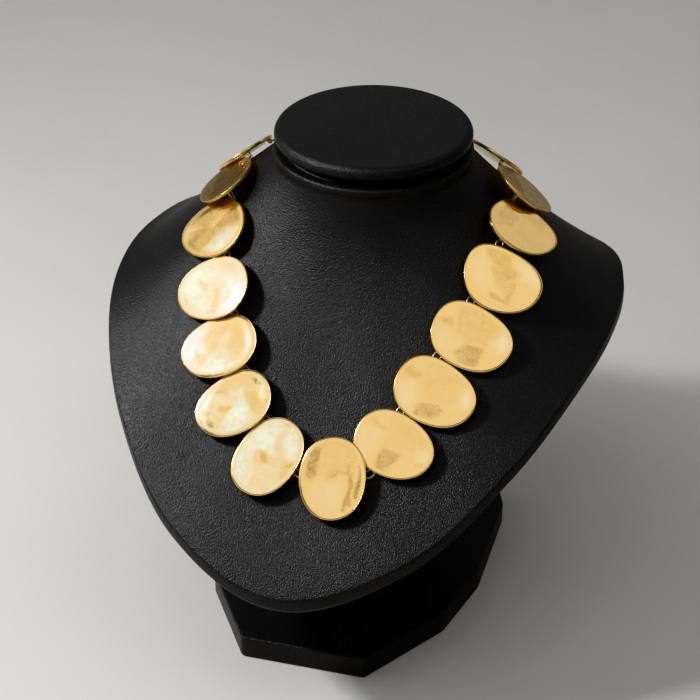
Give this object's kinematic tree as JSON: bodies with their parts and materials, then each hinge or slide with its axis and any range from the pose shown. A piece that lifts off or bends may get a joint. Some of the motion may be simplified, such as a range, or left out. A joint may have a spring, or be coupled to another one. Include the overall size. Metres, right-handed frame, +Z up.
{
  "type": "disc necklace on neck bust",
  "caption": "Collar of egg-shaped hammered gold discs on jump rings with a fine chain at the nape, worn on a black leather-covered neck bust with a flat base.",
  "frame": {"origin": "On the floor under the middle of the whole object's box, at the base's underside.", "axes": "+Z up, the front of the necklace and bust towards -Y, +X to the viewer's right."},
  "size_m": [0.2198, 0.2168, 0.2038],
  "materials": {
    "disc_gold": "satin yellow gold plate, softly hammered, with small darker patches",
    "link_gold": "bright drawn wire, gold plated",
    "leatherette": "black, fine pebble grain, low sheen"
  },
  "bodies": {
    "root": {"disc_left_7": "disc_gold", "disc_left_6": "disc_gold", "disc_left_5": "disc_gold", "disc_left_4": "disc_gold", "disc_left_3": "disc_gold", "disc_left_2": "disc_gold", "disc_left_1": "disc_gold", "disc_centre": "disc_gold", "disc_right_1": "disc_gold", "disc_right_2": "disc_gold", "disc_right_3": "disc_gold", "disc_right_4": "disc_gold", "disc_right_5": "disc_gold", "disc_right_6": "disc_gold", "disc_right_7": "disc_gold", "jump_ring_01": "link_gold", "jump_ring_02": "link_gold", "jump_ring_03": "link_gold", "jump_ring_04": "link_gold", "jump_ring_05": "link_gold", "jump_ring_06": "link_gold", "jump_ring_07": "link_gold", "jump_ring_08": "link_gold", "jump_ring_09": "link_gold", "jump_ring_10": "link_gold", "jump_ring_11": "link_gold", "jump_ring_12": "link_gold", "jump_ring_13": "link_gold", "jump_ring_14": "link_gold", "jump_ring_15": "link_gold", "jump_ring_16": "link_gold", "chain_left": "link_gold", "chain_right": "link_gold", "clasp": "link_gold", "bust_body": "leatherette", "neck_cap": "leatherette", "base_block": "leatherette"}
  },
  "joints": []
}
